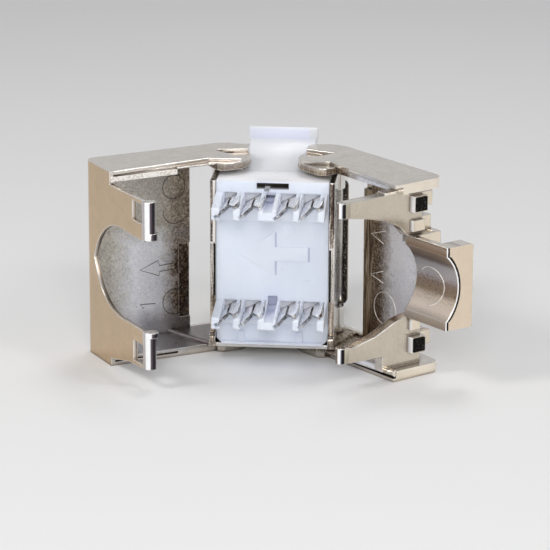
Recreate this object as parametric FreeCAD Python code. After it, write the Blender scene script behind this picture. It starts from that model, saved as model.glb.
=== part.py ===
import FreeCAD, Part
import math
import os

# Shielded tool-free keystone jack, seen and used with its rear wings open.
# Millimetres.  +X right when looking at the cable side, +Y towards the plug
# side, +Z up.  Everything is drawn with the rear plane of the terminal block
# at y = 0 and then moved, so that the origin is the middle of the plug
# opening in the front plane.

V = FreeCAD.Vector

# ---------------------------------------------------------------- driving sizes
FACE_TO_FRONT = 22.3      # terminal block rear plane to front face
PORT_Z = 0.3              # middle of the plug opening above the block middle

BODY_HALF_W = 7.0         # body shell half width
BODY_WALL = 0.65          # side wall of the rear part of the shell
BODY_BOTTOM = -9.9        # underside of the rear part and of the fixed hook
BODY_TOP = 9.45           # top of the side walls at the rear
STEP_Y = 14.0             # where the slim front part starts
NOTCH_Y0 = 12.3           # panel notch under the body, rear side
NOTCH_Z = -8.15           # floor of the panel notch
FRONT_TOP = 8.2           # top of the slim front part
RIB_Y = 9.9               # upright rib on each flank
RIB_R = 0.9
RIB_HALF = 6.6

CORE_HALF_W = 6.3         # terminal block half width
CORE_HALF_H = 9.45        # terminal block half height
CORE_DEPTH = 8.2          # terminal block depth

PIVOT_X = 6.0             # wing hinge axes, left and right of the middle
PIVOT_Y = 7.8
PIN_R = 0.95
BORE_R = 1.0
BOSS_R = 1.6

WING_HALF_H = 11.25       # wing half height
WING_TOP_IN = 10.05       # inner face of top and bottom walls
WING_SKIN = 10.85         # upper layer of the top wall starts here
WING_W = 8.65             # half width of the closed wings
WING_SP = WING_W - PIVOT_X  # hinge axis from the wing's outer side
WING_TP = 16.4            # hinge axis from the wing's rear face
WING_STRIP = 6.85         # width of the top and bottom walls
WING_SIDE_T = 12.6        # front end of the side wall
WING_WALL = 0.9
LEFT_REAR = 0.5           # the left wing's rear wall and fingers are thinner
LEFT_OPEN = 58.0          # opening angle of each wing as it stands
RIGHT_OPEN = 43.0

FORK_X = (-4.67, -1.93, 1.93, 4.67)
FORK_Z = (7.18, -5.28)
FORK_TURN = 28.0          # blades stand turned against the wire
TOWERS = ((-6.3, -5.45), (-3.9, -3.15), (-1.15, 0.85), (2.75, 3.4), (5.45, 6.2))
TOWER_LEN = 5.2

CONTACT_PITCH = 1.02

LATCH_HINGE_Y = 5.2
LATCH_HINGE_Z = 9.02
LATCH_HALF_W = 3.75

os.makedirs("parts", exist_ok=True)


# ---------------------------------------------------------------- helpers
def box(x0, x1, y0, y1, z0, z1):
    return Part.makeBox(x1 - x0, y1 - y0, z1 - z0, V(x0, y0, z0))


def outline(points, to3d):
    """Closed wire through 2-D points; ('a', mid, end) is an arc."""
    edges = []
    start = points[0]
    here = start
    for p in list(points[1:]) + [start]:
        if p[0] == "a":
            edges.append(Part.Arc(to3d(here), to3d(p[1]), to3d(p[2])).toShape())
            here = p[2]
        else:
            if math.hypot(p[0] - here[0], p[1] - here[1]) > 1e-6:
                edges.append(Part.makeLine(to3d(here), to3d(p)))
            here = p
    return Part.Face(Part.Wire(edges))


def prism_xy(points, z0, z1):
    return outline(points, lambda p: V(p[0], p[1], z0)).extrude(V(0, 0, z1 - z0))


def prism_xz(points, y0, y1):
    return outline(points, lambda p: V(p[0], y0, p[1])).extrude(V(0, y1 - y0, 0))


def prism_yz(points, x0, x1):
    return outline(points, lambda p: V(x0, p[0], p[1])).extrude(V(x1 - x0, 0, 0))


def cyl_z(x, y, r, z0, z1):
    return Part.makeCylinder(r, z1 - z0, V(x, y, z0), V(0, 0, 1))


def cyl_x(y, z, r, x0, x1):
    return Part.makeCylinder(r, x1 - x0, V(x0, y, z), V(1, 0, 0))


def fuse(first, *others):
    s = first.fuse(list(others))
    return s.removeSplitter()


def cut(first, *others):
    for o in others:
        first = first.cut(o)
    return first


NODES = {}


def keep(name, shape):
    if shape.ShapeType == "Compound" and len(shape.Solids) == 1:
        shape = shape.Solids[0]
    NODES[name] = shape


# ---------------------------------------------------------------- body shell
W = BODY_HALF_W
shell = box(-W, W, 0.0, STEP_Y, BODY_BOTTOM, 8.4)
for sx in (-1, 1):
    x0, x1 = sorted((sx * W, sx * (W - BODY_WALL)))
    shell = shell.fuse(box(x0, x1, 0.0, 12.6, 8.0, BODY_TOP))
# slim front part that goes through the panel
shell = shell.fuse(box(-W, W, STEP_Y - 0.1, FACE_TO_FRONT, NOTCH_Z, FRONT_TOP))
# hinge bosses, top and bottom, at the sides
for sx in (-1, 1):
    shell = shell.fuse(cyl_z(sx * PIVOT_X, PIVOT_Y, BOSS_R, 7.0, 9.95))
    shell = shell.fuse(cyl_z(sx * PIVOT_X, PIVOT_Y, BOSS_R, -9.97, -7.0))
# fixed hook in front of the panel notch, with a sloped nose
shell = shell.fuse(prism_yz([(STEP_Y, NOTCH_Z + 0.2), (STEP_Y, BODY_BOTTOM), (14.9, BODY_BOTTOM),
                             (17.2, NOTCH_Z + 0.2)], -5.2, 5.2))
shell = shell.removeSplitter()
# rear cavity for block and board
IW = W - BODY_WALL
shell = shell.cut(box(-IW, IW, -1.0, 12.55, -9.45, 7.5))
shell = shell.cut(box(-IW, IW, -1.0, 6.05, 7.0, 10.5))
shell = shell.cut(box(-4.3, 4.3, 6.0, 12.6, 7.85, 10.5))
# lower bosses seen from inside the cavity
for sx in (-1, 1):
    shell = shell.fuse(cyl_z(sx * PIVOT_X, PIVOT_Y, BOSS_R, -9.6, -8.35).cut(box(-20, 20, 0, 20, -12, -9.45)).cut(
        box(min(sx * W, sx * 12), max(sx * W, sx * 12), 0, 20, -12, 0)))
# panel notch in the underside
shell = shell.cut(box(-W - 1, W + 1, NOTCH_Y0, STEP_Y, BODY_BOTTOM - 1, NOTCH_Z))
# front cavity, open to the rear cavity
shell = shell.cut(box(-5.95, 5.95, 12.4, 21.3, -7.35, 7.4))
# plug opening: wide part with the two steps for the plug's tongue below
PORT = [(-5.95, PORT_Z + 3.5), (-5.95, PORT_Z - 3.4), (-3.2, PORT_Z - 3.4), (-3.2, PORT_Z - 4.75),
        (-1.7, PORT_Z - 4.75), (-1.7, PORT_Z - 5.95), (1.7, PORT_Z - 5.95), (1.7, PORT_Z - 4.75),
        (3.2, PORT_Z - 4.75), (3.2, PORT_Z - 3.4), (5.95, PORT_Z - 3.4), (5.95, PORT_Z + 3.5)]
shell = shell.cut(prism_xz(PORT, 21.0, 23.0))
# upright half-round rib with rounded ends on each flank
for sx in (-1, 1):
    rib = cyl_z(sx * W, RIB_Y, RIB_R, -RIB_HALF - 0.05, RIB_HALF - 0.05)
    for ze in (-RIB_HALF - 0.05, RIB_HALF - 0.05):
        rib = rib.fuse(Part.makeSphere(RIB_R, V(sx * W, RIB_Y, ze)))
    x0, x1 = sorted((sx * (W - 0.3), sx * (W + 2)))
    shell = shell.fuse(rib.common(box(x0, x1, RIB_Y - 2, RIB_Y + 2, -9.0, 9.0)))
# pockets for the two shield springs, just inside the front part
for sx in (-1, 1):
    x0, x1 = sorted((sx * 5.9, sx * 6.5))
    shell = shell.cut(box(x0, x1, 13.2, 21.3, PORT_Z - 1.5, PORT_Z + 1.5))
# seats of the four hinge pins
for sx in (-1, 1):
    shell = shell.cut(cyl_z(sx * PIVOT_X, PIVOT_Y, PIN_R, 8.0, 11.0))
    shell = shell.cut(cyl_z(sx * PIVOT_X, PIVOT_Y, PIN_R, -11.0, -8.6))
# small rounded ears at the lower rear corners of the flanks
for sx in (-1, 1):
    x0, x1 = sorted((sx * W, sx * (W - BODY_WALL)))
    for zc in (-8.8,):
        ear = cyl_x(-0.25, zc, 0.7, x0, x1).fuse(box(x0, x1, -0.25, 0.3, zc - 0.7, zc + 0.7))
        shell = shell.fuse(ear)
shell = shell.removeSplitter()

# ---------------------------------------------------------------- terminal block
H = CORE_HALF_H
block = prism_xz([(-CORE_HALF_W, H), (-CORE_HALF_W, -H + 0.6), (-CORE_HALF_W + 0.6, -H),
                  (CORE_HALF_W - 0.6, -H), (CORE_HALF_W, -H + 0.6), (CORE_HALF_W, H)], 0.0, CORE_DEPTH)
block = block.cut(box(-8, 8, LATCH_HINGE_Y + 0.02, 9.0, 7.4, 12.0))
# lower rear corners stand clear of the hinge bosses
for sx in (-1, 1):
    block = block.cut(cyl_z(sx * PIVOT_X, PIVOT_Y, BOSS_R + 0.12, -12.0, -8.2))
# steps that carry the two combs
block = block.fuse(box(-CORE_HALF_W, 6.2, -0.7, 0.1, 5.1, 7.7))
block = block.fuse(box(-CORE_HALF_W, 6.2, -0.7, 0.1, -6.9, -4.95))
# lip along the lower edge
block = block.fuse(box(-CORE_HALF_W + 0.6, CORE_HALF_W - 0.6, -0.45, 0.1, -H, -H + 0.28))
# rounded wire towers
for z0, z1 in ((6.25, 7.65), (-6.3, -4.95)):
    for x0, x1 in TOWERS:
        t = prism_yz([(0.1, z1 + 0.6), (-TOWER_LEN + 0.25, z1), ("a", (-TOWER_LEN + 0.07, z1 - 0.07), (-TOWER_LEN, z1 - 0.25)),
                      (-TOWER_LEN, z0 + 0.15), (-TOWER_LEN + 0.15, z0), (-0.9, z0), (0.1, z0 - 1.0)], x0, x1)
        block = block.fuse(t)
block = block.removeSplitter()
# grooves on the middle towers
block = block.cut(box(-0.62, 0.42, -TOWER_LEN - 0.5, -0.3, 7.25, 8.15))
block = block.cut(box(-0.62, 0.42, -1.0, 0.55, 7.65, 8.15))
block = block.cut(box(-0.45, 0.6, -TOWER_LEN - 0.5, -0.3, -5.35, -4.0))
block = block.cut(box(-0.45, 0.6, -1.0, 0.5, -4.95, -3.85))
# slot under the upper edge
block = block.cut(box(-1.78, 1.82, -0.5, 1.6, 8.58, 9.3))
block = block.cut(box(-0.95, -0.35, -0.5, 1.6, 8.3, 8.7))
# pockets behind the wire channels
for z0, z1 in ((6.5, 8.15), (-6.0, -4.35)):
    for xa, xb in ((-5.35, -4.0), (-3.05, -1.25), (0.95, 2.65), (3.5, 5.35)):
        block = block.cut(box(xa, xb, -1.0, 0.9, z0, z1))
# raised arrow that points to the left
arrow = prism_xz([(-3.86, 1.13), (0.3, 3.65), (0.3, 1.95), (4.03, 1.95), (4.03, 0.32), (0.3, 0.32), (0.3, -1.35)],
                 -0.12, 0.1)
block = block.fuse(arrow)
# faint locating ribs on the panel and under the lower comb
for bx in ((-6.1, -5.9, -2.6, 2.6), (3.4, 4.4, -2.0, -1.88)):
    block = block.fuse(box(bx[0], bx[1], -0.06, 0.1, bx[2], bx[3]))
for xr in (-3.5, 3.1):
    block = block.fuse(box(xr - 0.35, xr + 0.35, -0.25, 0.1, -9.2, -8.0))
# round socket at the front edge of the top plate for the latch root
block = block.cut(cyl_x(LATCH_HINGE_Y, LATCH_HINGE_Z, 0.47, -LATCH_HALF_W - 0.08, LATCH_HALF_W + 0.08))
block = block.removeSplitter()


# ---------------------------------------------------------------- terminals
def fork(x, z):
    """Forked blade in the plane of width and y, then turned to its angle."""
    hw = 1.42
    pts = [(-hw, -3.9), (-hw + 0.25, -4.75), (-hw + 0.42, -4.82), (-0.14, -2.7), (-0.14, 0.9),
           ("a", (0.0, 1.04), (0.14, 0.9)), (0.14, -2.7), (hw - 0.42, -4.82), (hw - 0.25, -4.75), (hw, -3.9),
           (hw, 4.6), (-0.7, 5.6), (-0.7, 8.9), (-1.3, 8.9), (-1.3, 5.3), (-hw, 4.6)]
    s = prism_xy(pts, -0.21, 0.21)
    tail = box(-1.3, -0.7, 8.8, 11.15, -0.21, 0.21)
    s = s.fuse(tail).removeSplitter()
    s.rotate(V(0, 0, 0), V(0, 1, 0), -FORK_TURN)
    s.translate(V(x, 0, z))
    return s


def fork_slot(x, z):
    a = box(-1.5, 1.5, -TOWER_LEN - 1, 5.0, -0.26, 0.26)
    b = box(-1.36, -0.64, 4.5, 9.5, -0.26, 0.26)
    c = prism_xy([(-1.5, 4.9), (1.5, 4.9), (-0.64, 5.95), (-1.36, 5.95)], -0.26, 0.26)
    s = a.fuse([b, c])
    s.rotate(V(0, 0, 0), V(0, 1, 0), -FORK_TURN)
    s.translate(V(x, 0, z))
    return s


forks = []
for z in FORK_Z:
    for x in FORK_X:
        forks.append(fork(x, z))
        block = block.cut(fork_slot(x, z))

# ---------------------------------------------------------------- circuit board
board = box(-6.1, 6.1, 8.95, 10.45, -8.9, 7.38)
board = board.cut(box(-6.2, -4.2, 8.0, 11.0, -9.0, -8.2)).cut(box(4.2, 6.2, 8.0, 11.0, -9.0, -8.2))
for z in FORK_Z:
    for x in FORK_X:
        hole = box(-1.32, -0.68, 8.5, 11.0, -0.23, 0.23)
        hole.rotate(V(0, 0, 0), V(0, 1, 0), -FORK_TURN)
        hole.translate(V(x, 0, z))
        board = board.cut(hole)

# ---------------------------------------------------------------- contact insert
top_z = 7.3
insert = box(-5.9, 5.9, 12.6, 21.2, PORT_Z + 3.55, top_z)
insert = insert.fuse(box(-5.9, 5.9, 12.6, 14.0, -7.2, top_z))
insert = insert.fuse(box(-5.9, 5.9, 12.6, 21.2, -7.2, PORT_Z - 3.45))
insert = insert.removeSplitter()
insert = insert.cut(box(-3.25, 3.25, 14.0, 22.0, PORT_Z - 4.8, PORT_Z - 3.0))
insert = insert.cut(box(-1.75, 1.75, 14.0, 22.0, PORT_Z - 6.0, PORT_Z - 4.0))
LEG_Z = 5.35
port_contacts = []
for i in range(8):
    xc = (i - 3.5) * CONTACT_PITCH
    w = 0.225
    g = w + 0.05
    insert = insert.cut(box(xc - g, xc + g, 13.9, 20.6, PORT_Z + 3.0, LEG_Z + 0.45))
    insert = insert.cut(box(xc - g, xc + g, 12.0, 14.5, LEG_Z - 0.2, LEG_Z + 0.2))
    insert = insert.cut(box(xc - g, xc + g, 13.5, 15.2, PORT_Z + 0.6, PORT_Z + 3.7))
    # leg through the board, run over the port, hairpin, then the springy finger
    pts = [(8.5, LEG_Z - 0.15), (19.6, LEG_Z - 0.15), ("a", (20.05, LEG_Z - 0.62), (19.75, LEG_Z - 1.05)),
           (14.1, 1.75), (13.95, 2.02), (19.7, LEG_Z - 1.4 + 0.0), ]
    outer = [(8.5, LEG_Z + 0.15), (19.6, LEG_Z + 0.15), ("a", (20.32, LEG_Z - 0.5), (19.93, LEG_Z - 1.28)),
             (14.3, 1.62), (14.15, 1.9), (19.62, LEG_Z - 1.05), ("a", (20.0, LEG_Z - 0.5), (19.6, LEG_Z - 0.15)),
             (8.5, LEG_Z - 0.15)]
    port_contacts.append(prism_yz(outer, xc - w, xc + w))
    board = board.cut(box(xc - w, xc + w, 8.0, 11.0, LEG_Z - 0.15, LEG_Z + 0.15))

# ---------------------------------------------------------------- shield springs
springs = []
for sx in (-1, 1):
    def p(u, y):
        return (sx * u, y)
    leaf = prism_xy([p(6.42, 21.1), p(6.42, 20.0), ("a", p(5.72, 17.2), p(6.42, 14.4)), p(6.42, 13.4),
                     p(6.28, 13.4), p(6.28, 14.4), ("a", p(5.58, 17.2), p(6.28, 20.0)), p(6.28, 21.1)],
                    PORT_Z - 1.2, PORT_Z + 1.2)
    springs.append(leaf)

# ---------------------------------------------------------------- keystone latch
LY, LZ = LATCH_HINGE_Y, LATCH_HINGE_Z
tongue = prism_yz([(LY + 0.1, LZ + 0.43), (10.1, 9.45), (13.6, 11.05), (13.6, 12.2),
                   ("a", (13.68, 12.36), (13.85, 12.43)), (14.35, 12.36), (16.7, 11.0), (17.0, 10.6),
                   (16.6, 10.25), (13.8, 10.2), (10.3, 8.76), (LY + 0.1, LZ - 0.4)],
                  -LATCH_HALF_W, LATCH_HALF_W)
ridge = prism_yz([(13.6, 11.05), (13.6, 12.2), ("a", (13.68, 12.36), (13.85, 12.43)), (14.35, 12.36),
                  (16.7, 11.0), (16.2, 10.6)], -LATCH_HALF_W - 0.15, LATCH_HALF_W + 0.15)
root = cyl_x(LY, LZ, 0.43, -LATCH_HALF_W, LATCH_HALF_W)
latch = fuse(tongue, ridge, root)

# ---------------------------------------------------------------- hinge pins
pins = {
    "hinge_pin_left_top": cyl_z(-PIVOT_X, PIVOT_Y, PIN_R, 8.0, WING_SKIN - 0.03),
    "hinge_pin_right_top": cyl_z(PIVOT_X, PIVOT_Y, PIN_R, 8.0, WING_SKIN - 0.03),
    "hinge_pin_left_bottom": cyl_z(-PIVOT_X, PIVOT_Y, PIN_R, -WING_HALF_H + 0.1, -8.6),
    "hinge_pin_right_bottom": cyl_z(PIVOT_X, PIVOT_Y, PIN_R, -WING_HALF_H + 0.1, -8.6),
}

# ---------------------------------------------------------------- wings
# local frame: x = s, distance from the wing's outer side;
#              y = t, distance forward of its rear face.
HH = WING_HALF_H
TI = WING_TOP_IN
SK = WING_SKIN
SP, TP = WING_SP, WING_TP
RC = 1.2                   # rounded upright corner at the rear
BEAD_Z = -10.3             # beads on the lower walls


LEFT_END = {"outer": ("a", (0.75, 18.15), (2.75, 19.15)), "far": (2.6, 19.4), "far_in": (3.9, 18.6),
            "apex": (2.5, 14.8), "near_in": (7.0, 15.95), "near": (7.75, 15.8), "hub": (7.75, 13.2)}
RIGHT_END = {"outer": ("a", (0.65, 18.6), (2.6, 20.0)), "far": (3.0, 20.05), "far_in": (4.4, 18.75),
             "apex": (3.0, 15.3), "near_in": (6.9, 15.3), "near": (8.0, 15.05), "hub": (8.0, 12.4)}


def arm_plan(e, s_in, t_hub):
    """Full plan of a top or bottom wall with its rounded hinge end."""
    return [(0.0, RC), (0.0, 15.6), e["outer"], e["far"], e["far_in"],
            ("a", ((e["far_in"][0] + e["near"][0]) / 2 + 0.55, (e["far_in"][1] + e["near"][1]) / 2 + 0.4), e["near"]),
            (e["hub"][0], t_hub + 0.6), (e["hub"][0] - 0.6, t_hub),
            (s_in, t_hub), (s_in, 0.0), (RC, 0.0), ("a", (RC * 0.293, RC * 0.293), (0.0, RC))]


def skin_plan(e, s_in, t_hub):
    """Upper layer: the same outline with the V-shaped recess left out."""
    return [(0.0, RC), (0.0, 15.6), e["outer"], e["far"], e["far_in"], e["apex"], e["near_in"], e["near"],
            (e["near"][0] - 0.5, e["near"][1] - 0.9), (s_in - 0.95, 12.6),
            (s_in, 0.0), (RC, 0.0), ("a", (RC * 0.293, RC * 0.293), (0.0, RC))]


def side_wall(t0, z0, z1):
    if t0 > 0:
        return box(0.0, WING_WALL, t0, WING_SIDE_T, z0, z1)
    return prism_xy([(0.0, RC), (0.0, WING_SIDE_T), (WING_WALL, WING_SIDE_T), (WING_WALL, 0.95), (RC, 0.95),
                     (RC, 0.0), ("a", (RC * 0.293, RC * 0.293), (0.0, RC))], z0, z1)


def left_wing():
    hub_t = 13.1
    e = LEFT_END
    top = prism_xy(arm_plan(e, WING_STRIP, hub_t), TI, SK)
    top = top.cut(box(WING_WALL + 0.4, 9.0, 8.3, hub_t, TI - 1, SK - 0.2))
    top = top.cut(box(-1, 9.0, WING_SIDE_T, hub_t, TI - 1, SK - 0.2))
    top = top.cut(box(WING_STRIP - 0.4, 9.0, -1.0, 8.3, SK - 0.22, SK))
    top = top.fuse(prism_xy(skin_plan(e, WING_STRIP, hub_t), SK, HH))
    bottom = prism_xy(arm_plan(e, WING_STRIP, hub_t), -HH, -TI)
    bottom = bottom.cut(box(WING_STRIP - 0.4, 9.0, -1.0, 8.3, -SK, -SK + 0.25))
    wing = top.fuse([bottom, side_wall(0.0, -HH, HH)])
    # rear wall with its two fingers around the cable opening
    wing = wing.fuse(prism_xy([(RC - 0.1, 0.0), (WING_STRIP, 0.0), (WING_STRIP, LEFT_REAR), (RC - 0.1, LEFT_REAR)],
                              -HH, HH))
    wing = wing.fuse(prism_xz([(6.0, 9.8), (8.4, 9.8), (15.95, 10.05), (15.95, 5.7), (15.95, 0.0),
                               (15.95, -4.6), (15.95, -8.95), (11.6, -9.3), (7.9, -10.1), (6.0, -10.4)], 0.0, LEFT_REAR))
    # windows near the tips
    wing = wing.cut(box(12.9, 15.45, -0.5, 1.5, 7.35, 9.6))
    wing = wing.cut(box(12.9, 15.45, -0.5, 1.5, -8.75, -6.35))
    # rounded upright bars at the finger tips, with a small foot
    for z0, z1, f0, f1 in ((5.7, 10.02, 5.7, 6.5), (-8.95, -4.6, -5.35, -4.6)):
        bar = cyl_z(16.05, 0.65, 0.65, z0, z1)
        foot = cyl_z(16.1, 0.8, 0.72, f0, f1)
        wing = wing.fuse([bar, foot])
    # cable opening, long half oval
    a, b, zc, se = 8.3, 5.15, 0.4, 10.7
    wing = wing.cut(outline([(20.0, zc + b), (se, zc + b), ("a", (se - a * 0.60, zc + b * 0.80), (se - a, zc)),
                             ("a", (se - a * 0.60, zc - b * 0.80), (se, zc - b)), (20.0, zc - b)],
                            lambda p: V(p[0], -1.0, p[1])).extrude(V(0, 5.0, 0)))
    # lower wall a little thinner up to a round bead that runs across it in front of the hinge end
    wing = wing.cut(prism_xy([(WING_WALL, 0.95), (RC, 0.95), (RC, LEFT_REAR), (9.0, LEFT_REAR), (9.0, 12.9),
                              (7.05, 12.3), (1.0, 10.15), (WING_WALL, 10.15)],
                             BEAD_Z, -TI + 0.01))
    wing = wing.fuse(bead((0.6, 10.01, BEAD_Z), (7.1, 12.32, BEAD_Z), 0.36))
    # thinner border at the front end of the side wall, lower half
    wing = wing.cut(box(WING_WALL - 0.22, 2.0, 11.2, 12.9, -8.6, 0.15))
    wing = wing.cut(cyl_z(SP, TP, BORE_R, TI - 1, SK))
    wing = wing.cut(cyl_z(SP, TP, BORE_R, -HH - 1, -TI + 1))
    return wing.removeSplitter()


def bead(a, b, r):
    """Round bar between two points."""
    d = V(*b) - V(*a)
    return Part.makeCylinder(r, d.Length, V(*a), d)


def right_wing():
    hub_t = 11.5
    e = RIGHT_END
    top = prism_xy(arm_plan(e, WING_STRIP, hub_t), TI, SK)
    top = top.cut(box(WING_STRIP - 1.1, 9.0, -1.0, hub_t, TI - 1, SK))
    top = top.fuse(prism_xy(skin_plan(e, WING_STRIP, hub_t), SK, HH))
    bottom = prism_xy(arm_plan(e, WING_STRIP, hub_t), -SK, -TI)
    bottom = bottom.cut(box(WING_STRIP - 0.45, 9.0, -1.0, hub_t, -SK, -TI))
    bottom = bottom.fuse(prism_xy(arm_plan(e, WING_STRIP, hub_t), -HH, -SK))
    # round beads along the free edge of the lower wall and across it in front of the hinge end
    bottom = bottom.cut(prism_xy([(WING_WALL, 2.4), (6.4, 2.4), (7.1, 11.5), (7.2, 11.6), (1.45, 13.85), (WING_WALL, 13.85)],
                                 BEAD_Z, -TI + 0.01))
    bottom = bottom.fuse([bead((6.5, 0.05, BEAD_Z), (7.12, 11.3, BEAD_Z), 0.37),
                          bead((7.25, 11.58, BEAD_Z), (1.2, 13.98, BEAD_Z), 0.35)])
    # side wall, cut back beside the catch blocks
    side = side_wall(3.6, -TI - 0.1, TI + 0.1).fuse([side_wall(1.3, -4.5, 5.0), side_wall(0.3, 3.6, 5.0)])
    wing = top.fuse([bottom, side])
    # sloped web that joins the side wall and the set-back rear plate
    web = [(2.1, 1.15), (3.2, 1.15), (3.2, 2.35), (1.9, 3.4), (0.9, 4.8), (0.0, 4.8), (0.0, 3.9), (0.9, 2.75)]
    wing = wing.fuse([prism_xy(web, 4.9, TI + 0.1), prism_xy(web, -TI - 0.1, -4.45)])
    wing = wing.fuse(prism_xy([(0.5, 1.3), (2.2, 1.3), (2.0, 1.6), (1.5, 2.2), (0.5, 3.4)], -4.45, 4.9))
    # rear plate with two tapered fingers
    plate = prism_xz([(2.1, TI + 0.2), (7.45, TI + 0.2), (7.5, 9.95), (12.9, 9.95), (12.9, 8.25), (12.1, 8.1), (9.5, 7.65),
                      (7.4, 7.1), (5.3, 6.1), (4.7, 5.5), (4.1, 4.8), (2.1, 4.8)], 1.1, 2.35)
    plate2 = prism_xz([(2.1, -TI - 0.2), (7.5, -TI - 0.2), (7.5, -8.48), (12.9, -8.25), (12.9, -6.55), (11.9, -6.6),
                       (8.6, -5.95), (5.8, -4.75), (4.2, -4.35), (2.1, -4.3)], 1.1, 2.35)
    wing = wing.fuse([plate, plate2])
    # rounded upright bars at the finger tips
    for z0, z1 in ((8.25, 9.93), (-8.25, -6.5)):
        wing = wing.fuse(cyl_z(12.9, 1.72, 0.63, z0, z1))
    # rounded cable trough behind the plate, and the plate at its end
    zt, zb, sd, sa = 4.95, -4.5, 2.44, 4.1
    zl, zr, wall = 3.88, -3.5, 0.85       # flat lips above zl and below zr
    zm = (zl + zr) / 2
    trough = prism_xz([(sa, zt), (sa, zl), ("a", (sd, zm), (sa, zr)), (sa, zb), (sa - wall, zb), (sa - wall, zr - 0.2),
                       ("a", (sd - wall, zm), (sa - wall, zl + 0.2)), (sa - wall, zt)], -5.5, 1.45)
    flange = prism_xz([(sa - 0.02, zt), (sa - 0.02, zl), ("a", (sd, zm), (sa - 0.02, zr)), (sa - 0.02, zb), (0.6, zb - 0.15),
                       ("a", (0.39, zb - 0.06), (0.3, zb + 0.15)), (0.3, zt - 0.35), ("a", (0.39, zt - 0.14), (0.6, zt - 0.05))],
                      -5.5, -3.6)
    wing = wing.fuse([trough, flange])
    # blocks that stand proud beside the trough; their outer parts sit deeper
    wing = wing.fuse([box(1.98, 3.82, 0.3, 1.2, 7.58, 9.42),
                      box(0.2, 2.15, 1.6, 3.95, 7.75, 9.42),
                      box(2.05, 3.75, 0.62, 1.2, 5.35, 6.6),
                      box(0.2, 2.15, 1.8, 3.95, 4.9, 6.6),
                      box(0.5, 3.8, 0.3, 2.4, 3.95, 4.95),
                      box(2.5, 3.75, 0.62, 1.2, -6.0, -4.6),
                      box(1.98, 3.86, 0.3, 1.2, -8.6, -6.75),
                      box(0.2, 2.15, 1.6, 3.95, -8.3, -6.7)])
    # square catch holes in the two outer blocks
    wing = wing.cut(box(2.11, 3.69, -0.5, 2.2, 7.71, 9.29))
    wing = wing.cut(box(2.11, 3.73, -0.5, 2.2, -8.47, -6.88))
    # arched relief at the top of the side wall's front end
    wing = wing.cut(prism_yz([(11.2, 7.4), (11.2, 7.9), ("a", (11.55, 8.5), (12.7, 8.8)), (12.7, 7.4)], 0.45, 1.5))
    wing = wing.cut(cyl_z(SP, TP, BORE_R, TI - 1, SK))
    wing = wing.cut(cyl_z(SP, TP, BORE_R, -HH - 1, -TI + 1))
    return wing.removeSplitter()


YR = PIVOT_Y - TP
lw = left_wing()
lw.translate(V(-WING_W, YR, 0))
lw.rotate(V(-PIVOT_X, PIVOT_Y, 0), V(0, 0, 1), -LEFT_OPEN)

rw = right_wing().mirror(V(0, 0, 0), V(1, 0, 0))
rw.translate(V(WING_W, YR, 0))
rw.rotate(V(PIVOT_X, PIVOT_Y, 0), V(0, 0, 1), RIGHT_OPEN)

# ---------------------------------------------------------------- write
keep("body_shell", shell)
keep("terminal_block", block)
for i, f in enumerate(forks):
    keep("terminal_%d" % (i + 1), f)
keep("circuit_board", board)
keep("contact_insert", insert)
for i, c in enumerate(port_contacts):
    keep("port_contact_%d" % (i + 1), c)
keep("shield_spring_left", springs[0])
keep("shield_spring_right", springs[1])
keep("keystone_latch", latch)
for n, s in pins.items():
    keep(n, s)
keep("left_wing", lw)
keep("right_wing", rw)

SHIFT = V(0, -FACE_TO_FRONT, -PORT_Z)
for name, shape in NODES.items():
    s = shape.copy()
    s.translate(SHIFT)
    if len(s.Solids) != 1 or not s.isValid():
        print("check", name, len(s.Solids), s.isValid())
    if s.ShapeType != "Solid":
        s = s.Solids[0]
    s.exportStep("parts/%s.step" % name)
print(len(NODES), "nodes")
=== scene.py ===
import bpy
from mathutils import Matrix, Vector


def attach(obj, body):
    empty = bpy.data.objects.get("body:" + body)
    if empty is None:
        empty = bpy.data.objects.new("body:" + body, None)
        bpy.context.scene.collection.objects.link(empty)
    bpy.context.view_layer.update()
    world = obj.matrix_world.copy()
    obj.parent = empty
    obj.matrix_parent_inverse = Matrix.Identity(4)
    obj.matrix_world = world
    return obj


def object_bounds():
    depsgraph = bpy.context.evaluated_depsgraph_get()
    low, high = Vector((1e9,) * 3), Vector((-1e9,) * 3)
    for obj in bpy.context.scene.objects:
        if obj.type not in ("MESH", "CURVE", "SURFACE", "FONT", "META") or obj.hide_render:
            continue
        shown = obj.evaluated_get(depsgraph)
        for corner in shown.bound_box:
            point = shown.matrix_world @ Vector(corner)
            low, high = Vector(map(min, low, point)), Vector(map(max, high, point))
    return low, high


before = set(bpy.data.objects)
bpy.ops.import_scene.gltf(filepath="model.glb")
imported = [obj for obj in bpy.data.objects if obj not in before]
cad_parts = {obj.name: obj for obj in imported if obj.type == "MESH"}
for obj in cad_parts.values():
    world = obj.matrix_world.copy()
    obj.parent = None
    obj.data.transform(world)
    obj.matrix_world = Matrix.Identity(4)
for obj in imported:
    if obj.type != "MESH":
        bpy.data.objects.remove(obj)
CAD_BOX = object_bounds()

import math

import bmesh
import bpy
from mathutils import Matrix, Vector

MM = 0.001
# the drawing's zero plane is the terminal block's rear plane; the frame's is the front face
OFF = Vector((0.0, 22.3, 0.3))


def P(x, y, z):
    """Drawing millimetres to frame metres."""
    return Vector((x - OFF.x, y - OFF.y, z - OFF.z)) * MM


# ------------------------------------------------------------------ wing frames
HALF_W, PIVOT_X, PIVOT_Y, PIVOT_T = 8.65, 6.0, 7.8, 16.4
LEFT_OPEN, RIGHT_OPEN = math.radians(-58.0), math.radians(43.0)


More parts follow.
